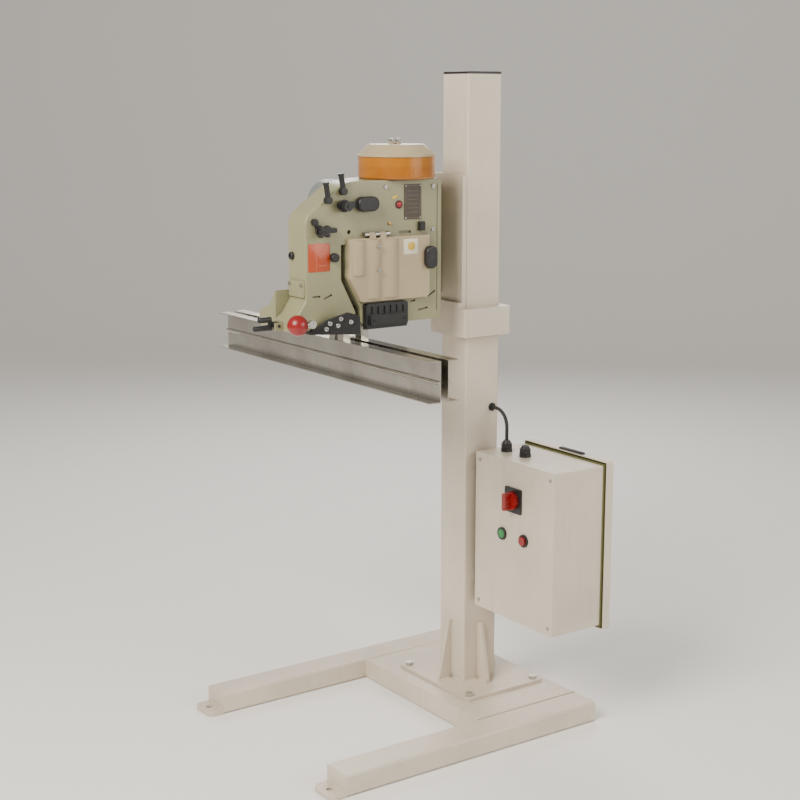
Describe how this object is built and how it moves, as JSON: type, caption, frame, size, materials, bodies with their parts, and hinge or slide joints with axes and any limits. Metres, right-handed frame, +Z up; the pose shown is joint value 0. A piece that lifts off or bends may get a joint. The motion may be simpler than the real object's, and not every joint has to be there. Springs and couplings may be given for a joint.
{
  "type": "bag closer sewing machine",
  "caption": "Bag closing sewing head with amber oil tank on a height-adjustable square column, with H-shaped floor base, control box and stainless bag-mouth guides.",
  "frame": {"origin": "on the floor, on the axis of the square column", "axes": "+Z up, +X from the head past the column, away from the operator, +Y the way the bag travels through the throat"},
  "size_m": [0.782, 0.917, 1.552],
  "materials": {
    "white_enamel": "white powder coat",
    "head_enamel": "cream enamel over casting",
    "black_steel": "black oxide",
    "bright_steel": "ground steel",
    "stainless": "brushed stainless sheet",
    "zinc": "zinc plated",
    "bronze": "sintered bronze",
    "motor_grey": "grey motor enamel",
    "black_plastic": "moulded",
    "grey_plastic": "moulded",
    "red_plastic": "glossy ball knob",
    "green_plastic": "push button",
    "amber_tank": "translucent amber",
    "rubber": "belt and seal",
    "needle_chrome": "polished",
    "plate_dark": "dark anodised"
  },
  "bodies": {
    "stand": {"foot_rail_infeed": "white_enamel", "foot_rail_outfeed": "white_enamel", "cross_deck": "white_enamel", "column": "white_enamel", "column_foot": "white_enamel", "column_bolts": "zinc", "column_cap": "black_plastic", "control_box_shell": "white_enamel", "box_mount_rails": "zinc", "box_backplate": "zinc", "motor_contactor": "grey_plastic", "terminal_strip": "grey_plastic", "box_fittings": "black_plastic", "motor_cable": "rubber"},
    "box_door": {"box_door": "white_enamel", "door_seal": "rubber"},
    "door_latch": {"door_latch": "black_plastic"},
    "isolator_knob": {"isolator_knob": "red_plastic"},
    "start_button": {"start_button": "green_plastic"},
    "stop_button": {"stop_button": "red_plastic"},
    "carriage": {"clamp_collar": "white_enamel", "carriage_plate": "white_enamel", "head_bracket": "head_enamel", "carriage_bolts": "zinc", "head_casting": "head_enamel", "rear_cover": "head_enamel", "leg_side_cover": "head_enamel", "shaft_bushes": "bronze", "motor_body": "motor_grey", "motor_bracket": "black_steel", "drive_belt": "rubber", "mechanism_brackets": "bright_steel", "infeed_shoe": "black_steel", "feed_guard": "black_steel", "hinge_pins": "bright_steel", "thread_fittings": "black_steel", "nameplate": "plate_dark", "oil_tank": "amber_tank", "bag_guide_front": "stainless", "bag_guide_rear": "stainless", "guide_hangers": "stainless"},
    "collar_clamp_lever": {"collar_clamp_lever": "bright_steel"},
    "main_shaft": {"main_shaft": "bright_steel", "crank_disc": "bright_steel", "handwheel_pulley": "bright_steel"},
    "motor_rotor": {"motor_rotor": "bright_steel", "motor_pulley": "bright_steel"},
    "needle_bar": {"needle_bar": "bright_steel", "needle": "needle_chrome"},
    "looper": {"looper": "bright_steel"},
    "feed_dog": {"feed_dog": "bright_steel"},
    "presser_foot": {"presser_foot": "black_steel"},
    "presser_lift": {"presser_lift_lever": "bright_steel", "red_ball_knob": "red_plastic"},
    "cutter_lever": {"cutter_lever": "black_steel"},
    "front_cover": {"front_cover": "head_enamel"},
    "cover_knob": {"cover_knob": "black_plastic"},
    "upper_tension_knob": {"upper_tension_knob": "black_plastic"},
    "lower_tension_knob": {"lower_tension_knob": "black_plastic"},
    "oil_tank_lid": {"oil_tank_lid": "head_enamel"}
  },
  "joints": [
    {"name": "carriage_height", "type": "slide", "parent": "stand", "child": "carriage", "axis": [0, 0, 1], "range_m": [-0.15, 0.2]},
    {"name": "clamp_lever_turn", "type": "hinge", "parent": "carriage", "child": "collar_clamp_lever", "pos_m": [0.082, 0, 0.966], "axis": [0, 1, 0], "range_deg": [-110, 0]},
    {"name": "box_door_swing", "type": "hinge", "parent": "stand", "child": "box_door", "pos_m": [0.127, -0.059, 0.45], "axis": [0, 0, 1], "range_deg": [0, 110]},
    {"name": "door_latch_turn", "type": "hinge", "parent": "box_door", "child": "door_latch", "pos_m": [0.12, -0.33, 0.56], "axis": [1, 0, 0], "range_deg": [0, 90]},
    {"name": "isolator_turn", "type": "hinge", "parent": "stand", "child": "isolator_knob", "pos_m": [-0.027, -0.21, 0.56], "axis": [1, 0, 0], "range_deg": [0, 90]},
    {"name": "start_press", "type": "slide", "parent": "stand", "child": "start_button", "axis": [1, 0, 0], "range_m": [0, 0.004], "stiffness_N_per_m": 600, "springref_m": -0.002},
    {"name": "stop_press", "type": "slide", "parent": "stand", "child": "stop_button", "axis": [1, 0, 0], "range_m": [0, 0.004], "stiffness_N_per_m": 600, "springref_m": -0.002},
    {"name": "shaft_turn", "type": "hinge", "parent": "carriage", "child": "main_shaft", "pos_m": [-0.265, 0, 1.095], "axis": [0, 1, 0], "continuous": true},
    {"name": "motor_turn", "type": "hinge", "parent": "carriage", "child": "motor_rotor", "pos_m": [-0.228, 0, 1.238], "axis": [0, 1, 0], "continuous": true},
    {"name": "needle_stroke", "type": "slide", "parent": "carriage", "child": "needle_bar", "axis": [-1, 0, 0], "range_m": [0, 0.03]},
    {"name": "looper_swing", "type": "hinge", "parent": "carriage", "child": "looper", "pos_m": [-0.436, -0.03, 1.03], "axis": [0, 0, 1], "range_deg": [-12, 12]},
    {"name": "feed_stroke", "type": "slide", "parent": "carriage", "child": "feed_dog", "axis": [0, 1, 0], "range_m": [-0.004, 0.004]},
    {"name": "presser_open", "type": "slide", "parent": "carriage", "child": "presser_foot", "axis": [-1, 0, 0], "range_m": [0, 0.005]},
    {"name": "presser_lift_turn", "type": "hinge", "parent": "carriage", "child": "presser_lift", "pos_m": [-0.514, 0, 1.007], "axis": [0, 1, 0], "range_deg": [0, 35], "stiffness_Nm_per_rad": 0.5, "springref_deg": -11.46},
    {"name": "cutter_press", "type": "hinge", "parent": "carriage", "child": "cutter_lever", "pos_m": [-0.563, 0, 1], "axis": [0, 1, 0], "range_deg": [-20, 0], "stiffness_Nm_per_rad": 1, "springref_deg": 22.92},
    {"name": "front_cover_swing", "type": "hinge", "parent": "carriage", "child": "front_cover", "pos_m": [-0.28, -0.082, 1.193], "axis": [1, 0, 0], "range_deg": [-100, 0]},
    {"name": "cover_knob_turn", "type": "hinge", "parent": "front_cover", "child": "cover_knob", "pos_m": [-0.188, -0.09, 1.134], "axis": [0, 1, 0], "range_deg": [0, 90]},
    {"name": "upper_tension_turn", "type": "hinge", "parent": "carriage", "child": "upper_tension_knob", "pos_m": [-0.419, -0.1, 1.259], "axis": [0, 1, 0], "range_deg": [-180, 180]},
    {"name": "lower_tension_turn", "type": "hinge", "parent": "carriage", "child": "lower_tension_knob", "pos_m": [-0.475, -0.095, 1.206], "axis": [0, 1, 0], "range_deg": [-180, 180]},
    {"name": "tank_lid_swing", "type": "hinge", "parent": "carriage", "child": "oil_tank_lid", "pos_m": [-0.232, 0.072, 1.364], "axis": [1, 0, 0], "range_deg": [-95, 0]}
  ],
  "couplings": [
    {"joint": "motor_turn", "follows": "shaft_turn", "ratio": 2.195},
    {"joint": "presser_open", "follows": "presser_lift_turn", "m_per_rad": 0.0081}
  ]
}
